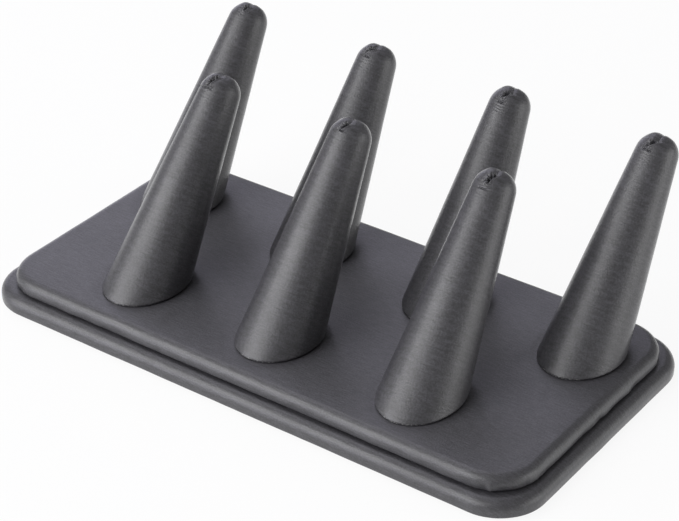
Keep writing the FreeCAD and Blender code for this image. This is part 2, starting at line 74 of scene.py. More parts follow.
LOWER_LOW, LOWER_HIGH = box_mm("lower_cover")
UPPER_LOW, UPPER_HIGH = box_mm("upper_cover")
PLATFORM = UPPER_HIGH.z
LEATHER = 0.6                       # thickness on the tiers
SLEEVE = 0.7                        # thickness on the fingers
HEM_WIDTH = 14.0
LOWER_CORNER, UPPER_CORNER = 17.2, 16.4
ROLL = 3.5                          # radius of both wrapped rims
PITCH, ROW_SPACING, ROW_SHIFT, LEAN = 57.0, 50.5, 0.8, 37.0
FOOT_RADIUS, TIP_RADIUS, FINGER_LENGTH = 14.1, 7.3, 69.0
SLOPE = (FOOT_RADIUS - TIP_RADIUS) / FINGER_LENGTH
DOME_RADIUS = TIP_RADIUS * math.sqrt(1 + SLOPE * SLOPE)
DOME_CENTRE = FINGER_LENGTH - TIP_RADIUS * SLOPE
CORE_END_RADIUS, CORE_TOP = 3.05, 74.4
print("platform at", round(PLATFORM, 2), "mm; lower tier", LOWER_HIGH - LOWER_LOW)

# %% [markdown]
# ## How each finger was left by hand
# No two fingers on such a stand are alike: each was screwed down and had its sleeve tucked by hand.
# The first table holds how each one stands. The second holds its tuck: a lip runs up from below the
# tip, and is given by two points and by where it crosses the top. A point is millimetres to the
# right of the finger's middle, and degrees down from the tip. The crease under it is given by
# degrees from the tip and by the two ends of its run. The last number says how strong the pleats
# are, because some sleeves were gathered neatly and others weren't.

# %% The seven fingers
STANCE = {
    # name: row, place in pitches, shift in mm, turn and extra lean in degrees
    "front_1": (-1, -1.0, -2.0, 0.0, 0.0),
    "front_2": (-1, 0.0, -1.5, 1.5, -1.5),
    "front_3": (-1, 1.0, -1.5, 4.5, 2.0),
    "back_1": (1, -1.5, 0.5, 1.5, 0.0),
    "back_2": (1, -0.5, 3.0, 3.5, -0.5),
    "back_3": (1, 0.5, 2.5, 4.5, -0.5),
    "back_4": (1, 1.5, -0.5, 0.5, -0.5),
}
TUCKS = {
    # name: lip's lower point, upper point, side at the top, fold's depth, crease, pleats
    "front_1": ((-0.5, 75.0), (1.1, 46.0), -0.2, 0.62, (85.0, -5.4, 1.2), 1.35),
    "front_2": ((0.2, 68.0), (1.5, 53.0), -0.3, 0.58, (76.5, -0.9, 1.0), 1.20),
    "front_3": ((0.5, 78.0), (1.7, 56.0), 0.4, 0.60, (97.5, -2.3, 1.2), 1.40),
    "back_1": ((1.3, 60.0), (1.9, 44.0), 0.1, 0.50, (80.0, 0.0, 0.0), 0.70),
    "back_2": ((-1.2, 67.0), (1.3, 52.0), -0.2, 0.55, (82.0, -1.5, 0.5), 0.80),
    "back_3": ((-0.2, 71.0), (2.1, 57.0), 0.4, 0.50, (88.0, -1.8, 0.6), 0.22),
    "back_4": ((-0.9, 79.0), (1.7, 60.0), 0.5, 0.50, (89.0, -2.9, 0.8), 0.25),
}
FINGERS = list(STANCE)


def finger_frame(name):
    """The finger's own frame: its origin where its axis meets the platform, +Z along the axis."""
    row, place, shift, turn, extra = STANCE[name]
    foot = Vector((place * PITCH + shift, ROW_SHIFT + row * ROW_SPACING / 2, PLATFORM))
    turned = Matrix.Rotation(math.radians(turn), 4, "Z")
    leaned = Matrix.Rotation(math.radians(-(LEAN + extra)), 4, "X")
    return Matrix.Translation(foot) @ turned @ leaned


# %% [markdown]
# ## The camera
# A long lens at some distance looks down on the near right corner of the stand. Its place was
# worked out from the outlines of the tiers and cones, so the picture's perspective is the real one.

# %% The camera
IMAGE_WIDTH = 679
FOCAL_PIXELS = 2161.9
AZIMUTH, ELEVATION = math.radians(35.85), math.radians(32.06)
DISTANCE, SIDE, RISE = 742.84, 3.48, 24.28
backward = Vector((
    math.sin(AZIMUTH) * math.cos(ELEVATION),
    -math.cos(AZIMUTH) * math.cos(ELEVATION),
    math.sin(ELEVATION),
))
rightward = Vector((math.cos(AZIMUTH), math.sin(AZIMUTH), 0))
upward = backward.cross(rightward)
camera_data = bpy.data.cameras.new("camera")
camera_data.sensor_width = 36.0
camera_data.lens = FOCAL_PIXELS / IMAGE_WIDTH * camera_data.sensor_width
camera_data.clip_start, camera_data.clip_end = 0.05, 20.0
camera = bpy.data.objects.new("camera", camera_data)
camera.location = (SIDE * rightward + RISE * upward + DISTANCE * backward) * MM
camera.rotation_euler = Matrix((rightward, upward, backward)).transposed().to_euler()
bpy.context.scene.collection.objects.link(camera)
bpy.context.scene.camera = camera
bpy.context.scene.view_settings.view_transform = "Standard"
print("lens", round(camera_data.lens, 1), "mm")

# %% [markdown]
# ## Colours and nodes
# Colours are written as the sRGB hex values that a paint program shows, and Blender's shaders want
# linear numbers, so one function turns them. Another adds a node with its settings and links.

# %% Helpers for materials
def colour(hex_text):
    """An sRGB hex colour as linear red, green, blue and alpha."""
    channels = [int(hex_text[place:place + 2], 16) / 255 for place in (1, 3, 5)]
    linear = [c / 12.92 if c <= 0.04045 else ((c + 0.055) / 1.055) ** 2.4 for c in channels]
    return (*linear, 1.0)


def add_node(material, kind, links=(), stops=(), **settings):
    """Adds a node. Keys that name an input set it, and the others set the node's own properties.

    Links are pairs of a source and an input. Stops are a colour ramp's places and colours.
    """
    node = material.node_tree.nodes.new("ShaderNode" + kind)
    for key, value in settings.items():
        if key in node.inputs:
            node.inputs[key].default_value = value
        else:
            setattr(node, key, value)
    for number, (place, tint) in enumerate(stops):
        element = node.color_ramp.elements[number]
        element.position, element.color = place, tint
    for source, target in links:
        material.node_tree.links.new(source, node.inputs[target])
    return node


def new_material(name):
    """A material without nodes."""
    material = bpy.data.materials.new(name)
    material.use_nodes = True
    material.node_tree.nodes.clear()
    return material


def finish_material(material, shader):
    """Gives a material its output."""
    add_node(material, "OutputMaterial", links=[(shader.outputs[0], "Surface")])
    return material


# %% [markdown]
# ## Leatherette
# The skin is PVC leatherette: a knitted cloth with a coat of soft plastic, pressed with a fine
# linear grain and printed a satin charcoal. The coat is nearly black. What the eye sees as grey is
# the wide, soft shine of the pressed grain, so the colour stays dark and the roughness does the
# work. The grain has to follow the sheet round every edge and round every cone, so each wrap
# carries an attribute, grain, in millimetres: its third number runs across the grain lines.
# The finest real lines are about 0.15 mm apart, which a picture of this size can't show, so the
# lines are drawn 0.75 mm apart, as the coarser ones in the photo are.

# %% The leatherette material
GRAIN_PITCH = 0.75                  # mm between two pressed lines, as drawn
GRAIN_LENGTH = 4.5                  # mm, how far one line runs
PEBBLE = 0.6                        # mm, the small mottle between the lines
COAT_DARK, COAT_LIGHT = colour("#1e1d20"), colour("#403f44")
# The backing colour is shown only on the lamp-lit side of each foot, so there it is partly a
# painted highlight.
BACKING = colour("#8d8c8b")         # the pale knitted cloth under the coat
DUST = colour("#a9a8a6")


def leatherette_material():
    material = new_material("pvc_leatherette_pressed_linear_grain")
    grain = add_node(material, "Attribute", attribute_name="grain").outputs["Vector"]
    stretched = add_node(
        material, "Mapping", links=[(grain, "Vector")],
        Scale=(1 / GRAIN_LENGTH, 1 / GRAIN_LENGTH, 1 / GRAIN_PITCH),
    )
    lines = add_node(
        material, "TexNoise", links=[(stretched.outputs[0], "Vector")],
        Scale=1.0, Detail=3.0, Roughness=0.65,
    )
    mottle = add_node(
        material, "TexNoise", links=[(grain, "Vector")], Scale=1 / PEBBLE, Detail=2.0, Roughness=0.6
    )
    cloud = add_node(
        material, "TexNoise", links=[(grain, "Vector")], Scale=1 / 22.0, Detail=3.0, Roughness=0.55
    )
    both = add_node(
        material, "Math", links=[(lines.outputs["Fac"], 0), (mottle.outputs["Fac"], 1)],
        operation="MULTIPLY",
    )
    tone = add_node(
        material, "ValToRGB", links=[(both.outputs[0], "Fac")],
        stops=[(0.14, COAT_DARK), (0.37, COAT_LIGHT)],
    )
    # The pale backing mixed in here is shown only on the lamp-lit front-left side of each finger's
    # foot, so these specks are partly frayed cloth and partly a painted highlight.
    fray_and_painted_highlight = add_node(material, "Attribute", attribute_name="fray_and_painted_highlight").outputs["Fac"]
    torn = add_node(
        material, "TexNoise", links=[(grain, "Vector")], Scale=1.7, Detail=2.0, Roughness=0.7
    )
    torn_here = add_node(
        material, "MapRange", links=[(torn.outputs["Fac"], "Value")],
        **{"From Min": 0.50, "From Max": 0.66},
    )
    fray_and_highlight_mask = add_node(
        material, "Math", links=[(fray_and_painted_highlight, 0), (torn_here.outputs[0], 1)], operation="MULTIPLY"
    )
    edged = add_node(
        material, "MixRGB", links=[(fray_and_highlight_mask.outputs[0], "Fac"), (tone.outputs[0], "Color1")],
        Color2=BACKING,
    )
    speck = add_node(
        material, "TexVoronoi", links=[(grain, "Vector")], Scale=1 / 17.0, Randomness=1.0
    )
    dusty = add_node(
        material, "MapRange", links=[(speck.outputs["Distance"], "Value")],
        **{"From Min": 0.017, "From Max": 0.011},
    )
    coloured = add_node(
        material, "MixRGB", links=[(dusty.outputs[0], "Fac"), (edged.outputs[0], "Color1")],
        Color2=DUST,
    )
    roughness = add_node(
        material, "MapRange", links=[(cloud.outputs["Fac"], "Value")],
        **{"From Min": 0.3, "From Max": 0.7, "To Min": 0.49, "To Max": 0.57},
    )
    fine = add_node(
        material, "Bump", links=[(lines.outputs["Fac"], "Height")], Strength=0.55, Distance=0.00012
    )
    pebbled = add_node(
        material, "Bump", links=[(mottle.outputs["Fac"], "Height"), (fine.outputs[0], "Normal")],
        Strength=0.6, Distance=0.00013,
    )
    skin = add_node(
        material, "BsdfPrincipled",
        links=[
            (coloured.outputs[0], "Base Color"),
            (roughness.outputs[0], "Roughness"),
            (pebbled.outputs[0], "Normal"),
            (pebbled.outputs[0], "Coat Normal"),
        ],
        IOR=1.72,
        **{"Coat Weight": 1.0, "Coat Roughness": 0.2, "Coat IOR": 1.2},
    )
    return finish_material(material, skin)


leatherette = leatherette_material()
print("leatherette nodes:", len(leatherette.node_tree.nodes))

# %% [markdown]
# ## From a mesh in millimetres to a piece of the stand
# Each wrap is worked out as a bmesh in millimetres. One function turns it into an object: it
# scales the mesh to metres, shades it smooth and hides the construction node it stands for. The
# object itself stays at the origin, unturned, as the construction nodes do.

# %% Helper that makes a piece
def add_piece(name, bm, material, node):
    """Makes an object from a bmesh in millimetres and puts it in place of a construction node."""
    bmesh.ops.recalc_face_normals(bm, faces=bm.faces)
    bmesh.ops.scale(bm, vec=Vector((MM, MM, MM)), verts=bm.verts)
    for face in bm.faces:
        face.smooth = True
    mesh = bpy.data.meshes.new(name)
    bm.to_mesh(mesh)
    bm.free()
    mesh.materials.append(material)
    piece = bpy.data.objects.new(name, mesh)
    bpy.context.scene.collection.objects.link(piece)
    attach(piece, "root")
    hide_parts(node)
    print(name, len(mesh.polygons), "faces")
    return piece


# %% Two soft curves
def smooth_step(value, start, end):
    """0 up to start, 1 from end on, and a soft S between; start may be the larger one."""
    share = min(max((value - start) / (end - start), 0.0), 1.0)
    return share * share * (3 - 2 * share)


def hill(value, centre, width):
    """A bell of height 1 about a centre."""
    return math.exp(-((value - centre) / width) ** 2)


# %% [markdown]
# ## The wraps of the two tiers
# On a bench each tier is a board laid face down on the leatherette, whose edge is pulled over and
# glued under as a hem. The form is a flat box with round corners and a rolled rim, so it starts as
# a cube: a bevel rounds its uprights, a second one rolls the top rim and a third the fold at the
# foot. Then planes cut it into small cells, because a stretched skin needs points to move.

# %% Build a wrapped tier
CORNER_STEPS, ROLL_STEPS, FOLD_STEPS = 36, 12, 6
UPPER_FOLD, LOWER_FOLD = 0.6, 0.8   # mm, radius of the turn under each tier


def round_edges(bm, edges, radius, steps):
    bmesh.ops.bevel(
        bm, geom=edges, offset=radius, segments=steps, affect="EDGES", profile=0.5, material=-1
    )


def rounded_block(low, high, corner, steps):
    """A closed block between two corner points, with its uprights rounded."""
    bm = bmesh.new()
    bmesh.ops.create_cube(bm, size=1.0)
    bmesh.ops.scale(bm, vec=high - low, verts=bm.verts)
    bmesh.ops.translate(bm, vec=(high + low) / 2, verts=bm.verts)
    uprights = [edge for edge in bm.edges if edge.verts[0].co.xy == edge.verts[1].co.xy]
    round_edges(bm, uprights, corner, steps)
    return bm


def rounded_tier(low, high, corner, fold):
    """A closed block with round corners, a rolled top rim and a small fold at its foot."""
    bm = rounded_block(low, high, corner, CORNER_STEPS)
    for height, radius, steps in ((high.z, ROLL, ROLL_STEPS), (low.z, fold, FOLD_STEPS)):
        rim = [
            edge for edge in bm.edges
            if all(abs(vert.co.z - height) < 1e-4 for vert in edge.verts)
        ]
        round_edges(bm, rim, radius, steps)
    return bm


# %% Cut the tier into cells and open its hem
CELL = 1.5                          # mm between two cuts


def cut_into_cells(bm, low, high):
    """Cuts a mesh along evenly spaced planes across X and then Y."""
    for axis in (Vector((1, 0, 0)), Vector((0, 1, 0))):
        start, end = low.dot(axis), high.dot(axis)
        count = round((end - start) / CELL)
        for number in range(1, count):
            bmesh.ops.bisect_plane(
                bm, geom=bm.verts[:] + bm.edges[:] + bm.faces[:], dist=1e-5,
                plane_co=axis * (start + (end - start) * number / count), plane_no=axis,
            )


def open_hem(bm, low, high):
    """Takes away what lies inside the hem on the underside."""
    inner = [
        face for face in bm.faces
        if abs(face.calc_center_median().z - low.z) < 1e-3
        and abs(face.calc_center_median().x) < high.x - HEM_WIDTH
        and abs(face.calc_center_median().y) < high.y - HEM_WIDTH
    ]
    bmesh.ops.delete(bm, geom=inner, context="FACES")


# %% [markdown]
# ## The sheet on the tier
# The soft functions below need to know which way is out at a point of the rim, and how far in the
# point lies. The grain needs to know where each point lay on the flat sheet before it was wrapped:
# on the side, a point lies as far beyond the edge as it now lies down from the top.

# %% Ways and distances on the rim
def outward_on_rim(point, high, corner):
    """The level direction that points out of the rim at a point, and the distance to the rim."""
    core = Vector((high.x - corner, high.y - corner))
    nearest = Vector((
        min(max(point.x, -core.x), core.x),
        min(max(point.y, -core.y), core.y),
    ))
    away = point.xy - nearest
    if away.length > 1e-6:
        return away.normalized(), corner - away.length
    sides = (
        (high.x - abs(point.x), Vector((math.copysign(1, point.x), 0))),
        (high.y - abs(point.y), Vector((0, math.copysign(1, point.y)))),
    )
    distance, direction = min(sides, key=lambda side: side[0])
    return direction, distance


def lay_grain(bm, high, corner):
    """Writes where each point lay on the flat sheet, with the grain running along X."""
    grain = bm.verts.layers.float_vector.new("grain")
    for vert in bm.verts:
        direction, _distance = outward_on_rim(vert.co, high, corner)
        drop = high.z - vert.co.z
        flat = vert.co.xy + direction * drop
        vert[grain] = Vector((flat.x, 0, flat.y))


# %% [markdown]
# ## The upper tier is padded
# A thin sheet of foam lies under this wrap, so its rim is plump, and the skin is never quite even:
# it ripples a little where it was pulled under, most of all at the right-hand short side, and
# gathers into small pleats round the corners. The skin also sinks slightly where a finger presses
# into the foam. Cloth simulation would puff the whole top, which is flat on the real one, so the
# points are moved by a few soft functions instead.

# %% Shape the padded wrap
SOFT_START, SOFT_FULL = 1.2, 1.0    # mm under the top, and mm above the foot of the rim
WAVE, WAVE_SIZE = 0.22, 9.0         # mm, the unevenness of the rim: long swells
RIPPLE, RIPPLE_SIZE = 0.14, 3.5     # mm, and short ones
TOP_WAVE, TOP_WAVE_SIZE, TOP_SINK = 0.10, 14.0, 0.05    # mm, near the rim of the flat top
CORNER_PLEAT, CORNER_PLEATS, CORNER_WANDER = 0.3, 8, 40     # mm, how many, degrees
PRESS_DEPTH, PRESS_REACH = 0.35, 2.6    # mm, the dent round each foot
DEEPEST = 0.28                      # mm that the skin may go in before it meets the board
GATHERS = (
    # x, y, reach, how far out in mm: where the rim is gathered or pulled in
    (105.9, 1.0, 1.8, -0.40),
    (105.9, 5.5, 3.0, 0.25),
    (105.9, 23.5, 1.8, -0.35),
    (105.9, 18.0, 3.0, 0.20),
    (105.9, -13.0, 4.0, -0.20),
    (-60.0, -52.0, 9.0, -0.14),
    (30.0, -52.0, 12.0, -0.14),
    (92.0, -51.9, 3.2, -0.45),
    (96.9, -50.4, 1.1, 0.65),
)
FEET = [finger_frame(name) for name in FINGERS]


def foot_distance(point):
    """How far a point on the platform lies outside the nearest finger's foot."""
    nearest = 1e9
    for matrix in FEET:
        local = matrix.inverted() @ Vector((point.x, point.y, PLATFORM))
        nearest = min(nearest, math.hypot(local.x, local.y) - (FOOT_RADIUS - SLOPE * local.z))
    return nearest


def shape_padded(vert, high):
    """Moves one point of the padded wrap from the plain form to the soft one."""
    point = vert.co
    direction, inside = outward_on_rim(point, high, UPPER_CORNER)
    low_share = smooth_step(point.z, high.z - SOFT_START, UPPER_LOW.z + SOFT_FULL)
    near_rim = smooth_step(inside, 9.0, 1.0)
    swell = WAVE * noise.noise(point / WAVE_SIZE) + RIPPLE * noise.noise(point / RIPPLE_SIZE)
    out = swell * low_share
    for x, y, reach, amount in GATHERS:
        out += amount * hill((point.xy - Vector((x, y))).length, 0, reach) * low_share
    corner = min(abs(direction.x), abs(direction.y))
    if corner > 0.02:
        turn = math.degrees(math.atan2(direction.y, direction.x))
        wander = CORNER_WANDER * noise.noise(Vector((turn / 20, 0, 5)))
        pleat = 1 - abs(math.sin(math.radians(turn * CORNER_PLEATS + wander)))
        out -= CORNER_PLEAT * pleat * smooth_step(corner, 0.02, 0.3) * low_share
    shift = Vector((direction.x, direction.y, 0)) * max(out, -DEEPEST)
    sunk = TOP_WAVE * noise.noise(point / TOP_WAVE_SIZE) - TOP_SINK
    shift.z = near_rim * (1 - low_share) * sunk
    if inside > ROLL * 0.7 and point.z > high.z - 0.3:
        shift.z -= PRESS_DEPTH * smooth_step(foot_distance(point), PRESS_REACH, 0.0)
    vert.co = point + shift


# %% Open the slot and make the upper wrap
SLOT, SLOT_REACH = 0.5, 2.6         # mm, height and depth of the dark slot under the rim


def open_slot(vert, high):
    """Lifts the turn of the hem a little: the foam holds it off the lower tier at its rim."""
    _direction, inside = outward_on_rim(vert.co, high, UPPER_CORNER)
    lift = SLOT * smooth_step(inside, SLOT_REACH, 0.8)
    vert.co.z += lift * smooth_step(vert.co.z, UPPER_LOW.z + 2.2, UPPER_LOW.z + 0.6)


def give_thickness(piece, thickness):
    """Leatherette is a sheet: a wall grows inwards from the skin."""
    wall = piece.modifiers.new("leatherette_thickness", "SOLIDIFY")
    wall.thickness = thickness * MM
    wall.offset = -1.0


def make_upper_cover():
    bm = rounded_tier(UPPER_LOW, UPPER_HIGH, UPPER_CORNER, UPPER_FOLD)
    cut_into_cells(bm, UPPER_LOW, UPPER_HIGH)
    open_hem(bm, UPPER_LOW, UPPER_HIGH)
    lay_grain(bm, UPPER_HIGH, UPPER_CORNER)
    for vert in bm.verts:
        if vert.co.z > UPPER_LOW.z + 0.05:
            shape_padded(vert, UPPER_HIGH)
        open_slot(vert, UPPER_HIGH)
    piece = add_piece("upper_cover_wrap", bm, leatherette, "upper_cover")
    give_thickness(piece, LEATHER)
    return piece


upper_cover = make_upper_cover()

# %% [markdown]
# ## The lower tier
# There is no foam under this one, so its rim is firmer and more even. The same steps make it, with
# only a faint unevenness where the sheet was pulled down.

# %% Shape the lower wrap
FIRM_WAVE, FIRM_WAVE_SIZE = 0.09, 12.0      # mm, as on the rim above, but fainter
FIRM_RIPPLE, FIRM_RIPPLE_SIZE = 0.04, 4.0


def make_lower_cover():
    bm = rounded_tier(LOWER_LOW, LOWER_HIGH, LOWER_CORNER, LOWER_FOLD)
    cut_into_cells(bm, LOWER_LOW, LOWER_HIGH)
    open_hem(bm, LOWER_LOW, LOWER_HIGH)
    lay_grain(bm, LOWER_HIGH, LOWER_CORNER)
    for vert in bm.verts:
        direction, _inside = outward_on_rim(vert.co, LOWER_HIGH, LOWER_CORNER)
        low_share = smooth_step(vert.co.z, LOWER_HIGH.z - 0.5, LOWER_LOW.z + 1.0)
        swell = FIRM_WAVE * noise.noise(vert.co / FIRM_WAVE_SIZE)
        swell += FIRM_RIPPLE * noise.noise(vert.co / FIRM_RIPPLE_SIZE)
        vert.co += Vector((direction.x, direction.y, 0)) * swell * low_share
    piece = add_piece("lower_cover_wrap", bm, leatherette, "lower_cover")
    give_thickness(piece, LEATHER)


make_lower_cover()

# %% [markdown]
# ## The finger sleeves
# A sleeve is a tapered tube of leatherette drawn over a turned cone. At the tip its end is
# gathered, pleat by pleat, and pushed into a saw cut, which leaves a slit with a clean lip on one
# side and a fan of pleats on the other. That is the detail that makes the stand look real.
# The plain form is a profile spun about the finger's axis: the outer skin up to the tip, and the
# inner one back down, so the wall is there from the start. The rings lie close together at the tip
# and far apart below. Then every point of the outer skin is moved by the height of the folds.

# %% Spin a plain sleeve
SEGMENTS = 288
DOME_RINGS, NECK_RINGS, CONE_RINGS, INNER_RINGS = 76, 24, 30, 5
NECK = 4.2                          # mm of cone just under the dome that also has folds
FOOT_EDGE = ((0.9, 0.0), (0.5, 0.0), (0.28, 0.1), (0.12, 0.26), (0.0, 0.5))  # mm up, mm in


def cone_radius(height):
    return FOOT_RADIUS - SLOPE * height


def sleeve_profile():
    """Points (radius, height) of the wall's section: outer tip, down to the foot and up inside."""
    outer = []
    for step in range(DOME_RINGS + 1):
        angle = (math.pi / 2 - math.atan(SLOPE)) * step / DOME_RINGS
        outer.append((DOME_RADIUS * math.sin(angle), DOME_CENTRE + DOME_RADIUS * math.cos(angle)))
    for step in range(1, NECK_RINGS + 1):
        height = FINGER_LENGTH - NECK * step / NECK_RINGS
        outer.append((cone_radius(height), height))
    for step in range(1, CONE_RINGS):
        height = (FINGER_LENGTH - NECK) * (1 - step / CONE_RINGS)
        outer.append((cone_radius(height), height))
    outer += [(cone_radius(up) - inwards, up) for up, inwards in FOOT_EDGE]
    inner = []
    for step in range(INNER_RINGS + 1):
        height = FINGER_LENGTH * step / INNER_RINGS
        inner.append((cone_radius(height) - SLEEVE, height))
    inner += [(radius, CORE_TOP) for radius in (CORE_END_RADIUS, 1.5, 0.75, 0.0)]
    return outer, inner


def spin_profile(points):
    """Turns a section about the upright axis into a closed mesh."""
    bm = bmesh.new()
    verts = [bm.verts.new((radius, 0, height)) for radius, height in points]
    edges = [bm.edges.new(pair) for pair in zip(verts, verts[1:])]
    bmesh.ops.spin(
        bm, geom=verts + edges, cent=(0, 0, 0), axis=(0, 0, 1), angle=2 * math.pi,
        steps=SEGMENTS, use_merge=True, use_duplicate=False,
    )
    bmesh.ops.remove_doubles(bm, verts=bm.verts, dist=1e-5)
    return bm


# %% [markdown]
# ## The foot follows the platform
# The cone leans, so its foot is cut at a slant. Cutting a dense mesh leaves slivers along the cut.
# Here the rings slide along the cone instead: each point keeps its share of the way from foot to
# neck, and the lowest ring comes to lie on the platform. The trimmed edge is a little ragged.

# %% Slide the rings to the platform
def foot_height(angle, lean):
    """Where the cone meets the platform, along the axis, at an angle round the axis."""
    rise = math.sin(angle) * math.tan(math.radians(lean))
    return FOOT_RADIUS * rise / (1 + SLOPE * rise)


def slide_to_platform(vert, lean):
    """Moves a point so that the lowest ring lies on the platform. Returns its old height."""
    height = vert.co.z
    top = FINGER_LENGTH - NECK
    if height >= top:
        return height
    angle = math.atan2(vert.co.y, vert.co.x)
    inwards = cone_radius(height) - math.hypot(vert.co.x, vert.co.y)
    foot = foot_height(angle, lean)
    slid = foot + (top - foot) * height / top
    radius = cone_radius(slid) - inwards
    vert.co = Vector((radius * math.cos(angle), radius * math.sin(angle), slid))
    return height


# %% [markdown]
# ## Room over the core
# The skin can't sink below the wood that it covers, save where it goes into the saw cut. The core
# ends in a chamfer and a small flat. A line from the dome's middle meets one of them, and what is
# left from there to the dome is the room for folds.

# %% Room over the core
CHAMFER_ANGLE, CHAMFER_DISTANCE = 56.3, 5.89    # degrees from the axis, mm from the dome's middle
CORE_CLEARANCE, LEAST_ROOM = 0.1, 0.3
TUCK_HALF_WIDTH, CUT_EDGE, CUT_ROOM = 0.6, 0.25, 1.5    # mm, the saw cut and the room it adds


def room_over_core(point):
    """How far the skin may sink at a point of the tip before it meets the wooden core."""
    away = point - Vector((0, 0, DOME_CENTRE))
    angle = math.degrees(away.angle(Vector((0, 0, 1))))
    if angle < math.degrees(math.atan2(CORE_END_RADIUS, CORE_TOP - DOME_CENTRE)):
        distance = (CORE_TOP - DOME_CENTRE) / math.cos(math.radians(angle))
    elif point.z > FINGER_LENGTH:
        distance = CHAMFER_DISTANCE / math.cos(math.radians(angle - CHAMFER_ANGLE))
    else:
        distance = DOME_RADIUS - SLEEVE
    over_cut = smooth_step(abs(point.x), TUCK_HALF_WIDTH, TUCK_HALF_WIDTH - CUT_EDGE)
    return max(DOME_RADIUS - distance - CORE_CLEARANCE, LEAST_ROOM) + CUT_ROOM * over_cut


# %% [markdown]
# ## A map of the tip
# The folds are drawn on the dome as on a map: one coordinate runs up along the lip, from its lower
# end, and the other across it to the right, both in millimetres. Chance gives each tuck the phase
# of its pleats and the slant of its strokes. It starts from the finger's name, so that every run
# draws the same tucks.

# %% The map of a tuck
STROKE_PLACES = (0.08, 0.45, 0.82)  # of the open strokes, as shares of the lip's length
HOLES = {
    # name: place as a share of the lip's length, radius in mm
    "back_2": (0.55, 0.75),
    "back_3": (0.45, 1.0),
    "back_4": (0.60, 0.95),
}
BAND_HEIGHT = {"back_3": 0.06}      # mm: only this sleeve shows bands
FAINT_BAND = 0.012                  # mm, on all others


class Tuck:
    """One finger's tuck: its numbers, and where a point of the skin lies on its map."""

    def __init__(self, name):
        self.low, self.high, self.top_side, self.fold_depth, self.crease, self.pleats = TUCKS[name]
        chance = random.Random(name)
        self.phase = chance.uniform(0, 1)
        self.band = BAND_HEIGHT.get(name, FAINT_BAND)
        self.seed = Vector((chance.uniform(0, 50), chance.uniform(0, 50), 0))
        self.strokes = []
        for share in STROKE_PLACES:
            place = share + chance.uniform(-0.05, 0.05)
            slant, reach = chance.uniform(0.5, 1.1), chance.uniform(1.5, 2.4)
            self.strokes.append((place, slant, reach))
        self.hole = HOLES.get(name)
        across = self.high[0] - self.low[0]
        along = DOME_RADIUS * math.radians(self.low[1] - self.high[1])
        self.length = math.hypot(across, along)
        self.direction = Vector((across, along)) / self.length

    def on_map(self, side, polar):
        """Along and across the lip, for a point given by its side and degrees from the tip."""
        here = Vector((side - self.low[0], DOME_RADIUS * math.radians(self.low[1] - polar)))
        across = here.x * self.direction.y - here.y * self.direction.x
        return here.dot(self.direction), across

    def uneven(self, first, second):
        """Noise of this tuck's own, from two coordinates."""
        return noise.noise(Vector((first, second, 0)) + self.seed)


# %% [markdown]
# ## Into the cut
# Left of the lip the skin dives into the saw cut, and the lip itself stands up a little. Between
# the first pleats the gather stays open. On most fingers that leaves three short black strokes, and
# on three of them, which were pushed in deeper, one dark hole.

# %% The dive, its openings and the lip
DIVE_DEPTH, DIVE_REACH = 0.8, 2.5
WALL_HALF_WIDTH = 0.14              # mm, of the wall between the lip and the skin that dives
HOLE_DEPTH, HOLE_STRETCH = 2.2, 1.5     # mm, and its length by its width
HOLE_ASIDE, HOLE_FLOOR = 0.7, 0.55      # shares of its radius: left of the lip, flat at the bottom
STROKE_DEPTH, STROKE_WIDTH, STROKE_START = 2.0, 0.33, -0.4
LIP_HEIGHT, LIP_PLACE, LIP_WIDTH = 0.30, 0.36, 0.24


def dive_height(tuck, along, across):
    """The skin that goes into the cut, the openings in it, and the lip on the right."""
    inside = smooth_step(along, -0.5, 0.5)
    inside *= smooth_step(along, tuck.length + 1.4, tuck.length - 0.2)
    wall = smooth_step(across, WALL_HALF_WIDTH, -WALL_HALF_WIDTH)
    rise = -DIVE_DEPTH * inside * wall * smooth_step(across, -DIVE_REACH, 0.1) ** 1.5
    if tuck.hole:
        place, radius = tuck.hole
        ahead = (along - place * tuck.length) / HOLE_STRETCH
        reach = math.hypot(ahead, across + HOLE_ASIDE * radius)
        rise -= HOLE_DEPTH * smooth_step(reach, radius, HOLE_FLOOR * radius) * wall
    else:
        for place, slant, reach in tuck.strokes:
            aside = along - place * tuck.length + slant * across
            run = smooth_step(across, -reach, STROKE_START)
            rise -= STROKE_DEPTH * hill(aside, 0, STROKE_WIDTH) * run * wall
    lip = smooth_step(along, -0.4, 0.3) * smooth_step(along, tuck.length + 2.2, tuck.length)
    return rise + LIP_HEIGHT * lip * hill(across, LIP_PLACE, LIP_WIDTH)


# %% [markdown]
# ## The fan of pleats
# When a round skin is gathered to a line, its spare width stands up in pleats, which run away from
# the lip as a fan. Seen from the fan's middle, a pleat is a narrow valley at one bearing. Noise
# bends each of them and ends it early or late.

# %% The pleats
PLEAT_DEPTH, PLEAT_REACH = 1.25, 4.8
PLEATS = 6.6                        # in the half circle of the fan
FAN_PLACE, FAN_ASIDE = 0.38, 0.45   # its middle: share of the lip's length, mm right of the lip
PLEAT_SHARPNESS, PLEAT_RIDGE = 1.3, 0.28    # a valley's form, and what stands up between two
PLEAT_BEND = 7                      # degrees


def pleat_height(tuck, along, across):
    """Narrow valleys that fan out to the left of the lip."""
    span = Vector((along - tuck.length * FAN_PLACE, across - FAN_ASIDE))
    reach = span.length
    if reach > PLEAT_REACH or across > 0.1:
        return 0.0
    bearing = math.degrees(math.atan2(-span.y, span.x))
    bearing += PLEAT_BEND * tuck.uneven(bearing / 30, reach / 1.8)
    wave = 1 - abs(math.sin(math.pi * (PLEATS * bearing / 180 + tuck.phase)))
    valley = wave ** PLEAT_SHARPNESS - PLEAT_RIDGE
    fan = smooth_step(bearing, -5, 15) * smooth_step(bearing, 195, 165)
    end = PLEAT_REACH * (0.8 + 0.25 * tuck.uneven(bearing / 14, 7))
    fade = smooth_step(reach, 0.3, 0.8) * smooth_step(reach, end, 0.8)
    strength = 0.85 + 0.6 * tuck.uneven(bearing / 16, 3)
    return -PLEAT_DEPTH * tuck.pleats * valley * fan * fade * strength


